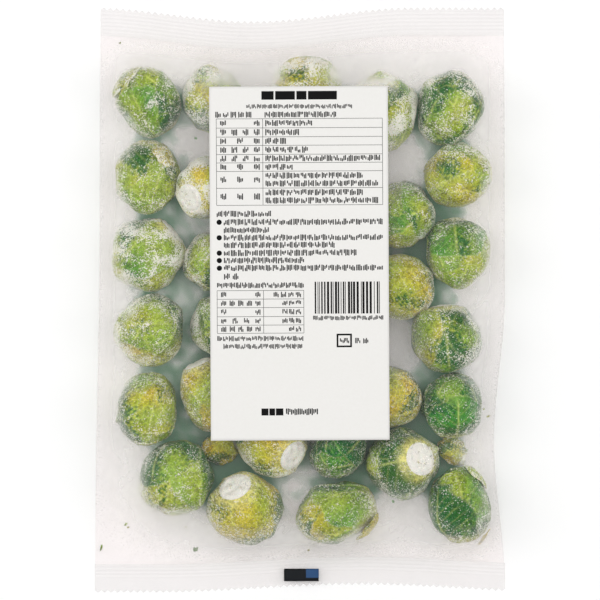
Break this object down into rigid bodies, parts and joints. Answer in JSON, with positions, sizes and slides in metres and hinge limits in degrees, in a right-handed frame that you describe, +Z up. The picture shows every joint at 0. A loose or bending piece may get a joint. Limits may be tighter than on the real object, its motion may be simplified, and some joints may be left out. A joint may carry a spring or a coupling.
{
  "type": "bag of frozen brussels sprouts",
  "caption": "Flat clear plastic pillow bag of whole frozen Brussels sprouts, with crimped zigzag ends and a plain white paper label on the front.",
  "frame": {"origin": "under the middle of the bag, on the surface that it lies on", "axes": "+X across the bag, +Y along it towards the head of the label, +Z up through the label"},
  "size_m": [0.19, 0.271, 0.0374],
  "materials": {
    "film": "clear, slightly milky polythene film, soft gloss",
    "seal": "two layers of the film, welded and crimped",
    "paper": "matt white label paper",
    "sprout": "frosted leaf, green to yellow",
    "leaf": "frosted loose leaf"
  },
  "bodies": {
    "root": {"sprout_01": "sprout", "sprout_02": "sprout", "sprout_03": "sprout", "sprout_04": "sprout", "sprout_05": "sprout", "sprout_06": "sprout", "sprout_07": "sprout", "sprout_08": "sprout", "sprout_09": "sprout", "sprout_10": "sprout", "sprout_11": "sprout", "sprout_12": "sprout", "sprout_13": "sprout", "sprout_14": "sprout", "sprout_15": "sprout", "sprout_16": "sprout", "sprout_17": "sprout", "sprout_18": "sprout", "sprout_19": "sprout", "sprout_20": "sprout", "sprout_21": "sprout", "sprout_22": "sprout", "sprout_23": "sprout", "sprout_24": "sprout", "sprout_25": "sprout", "sprout_26": "sprout", "sprout_27": "sprout", "sprout_28": "sprout", "sprout_29": "sprout", "sprout_30": "sprout", "sprout_31": "sprout", "sprout_32": "sprout", "sprout_33": "sprout", "sprout_34": "sprout", "sprout_35": "sprout", "sprout_36": "sprout", "sprout_37": "sprout", "loose_leaf_1": "leaf", "loose_leaf_2": "leaf", "loose_leaf_3": "leaf", "loose_leaf_4": "leaf", "front_panel": "film", "back_panel": "film", "top_seal": "seal", "bottom_seal": "seal", "back_fin": "seal", "label": "paper"}
  },
  "joints": []
}
